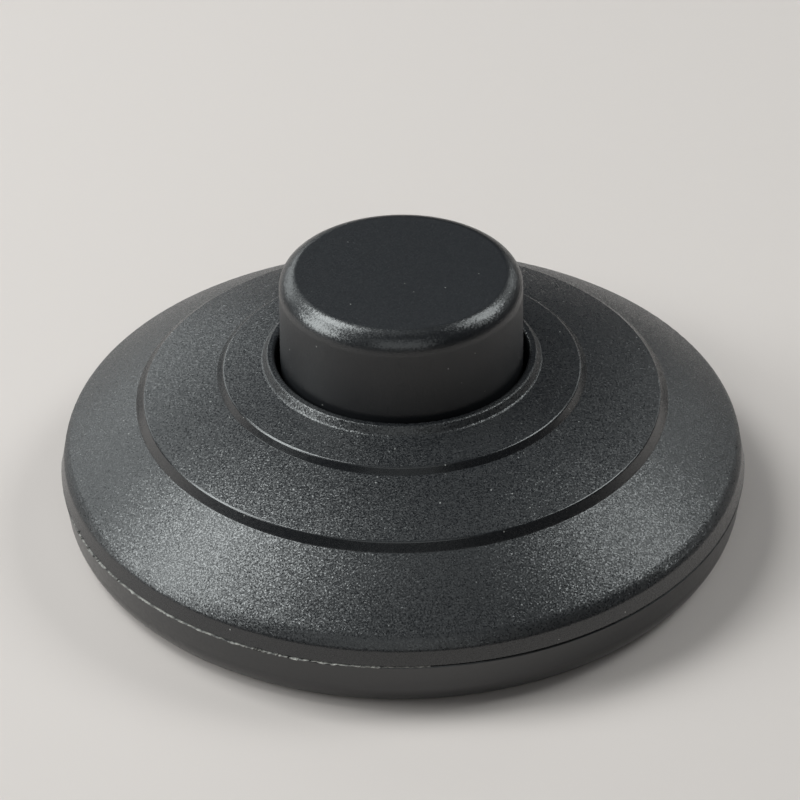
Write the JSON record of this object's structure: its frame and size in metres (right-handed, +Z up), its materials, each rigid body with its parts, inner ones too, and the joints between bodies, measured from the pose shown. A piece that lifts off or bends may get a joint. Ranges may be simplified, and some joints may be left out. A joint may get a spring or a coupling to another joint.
{
  "type": "lamp foot switch",
  "caption": "Round in-line foot switch for a lamp cord: stepped domed case, central push button, ratchet contact and screw terminals inside, cord inlets at opposite sides.",
  "frame": {"origin": "centre of the standing face, on the button's axis", "axes": "+Z up along the button's axis, X along the cord from one inlet to the other"},
  "size_m": [0.0618, 0.062, 0.0239],
  "materials": {
    "case_plastic": "satin",
    "base_plastic": "satin",
    "button_plastic": "satin",
    "rotor_nylon": "satin",
    "contact_brass": "satin",
    "contact_silver": "polished",
    "spring_steel": "satin",
    "plated_steel": "satin",
    "clamp_plastic": "satin"
  },
  "bodies": {
    "housing": {"top_cover": "case_plastic", "base_cover": "base_plastic", "neutral_link": "contact_brass", "live_in_contact": "contact_brass", "live_out_contact": "contact_brass", "contact_rivet_in": "contact_silver", "contact_rivet_out": "contact_silver", "live_in_clamp_plate": "plated_steel", "live_out_clamp_plate": "plated_steel", "neutral_in_clamp_plate": "plated_steel", "neutral_out_clamp_plate": "plated_steel", "terminal_screws": "plated_steel", "cord_clamp_left": "clamp_plastic", "cord_clamp_right": "clamp_plastic", "cord_clamp_screws": "plated_steel", "cover_screws": "plated_steel"},
    "button": {"push_button": "button_plastic"},
    "rotor": {"ratchet_rotor": "rotor_nylon", "contact_bridge": "contact_brass", "return_spring": "spring_steel"}
  },
  "joints": [
    {"name": "button_press", "type": "slide", "parent": "housing", "child": "button", "axis": [0, 0, 1], "range_m": [-0.004, 0], "stiffness_N_per_m": 1200, "springref_m": 0.0008, "deforming": ["return_spring"]},
    {"name": "rotor_index", "type": "hinge", "parent": "housing", "child": "rotor", "pos_m": [0, 0, 0.0065], "axis": [0, 0, 1], "range_deg": [0, 40.91]}
  ],
  "couplings": [
    {"joint": "rotor_index", "follows": "button_press", "rad_per_m": -178.5}
  ]
}
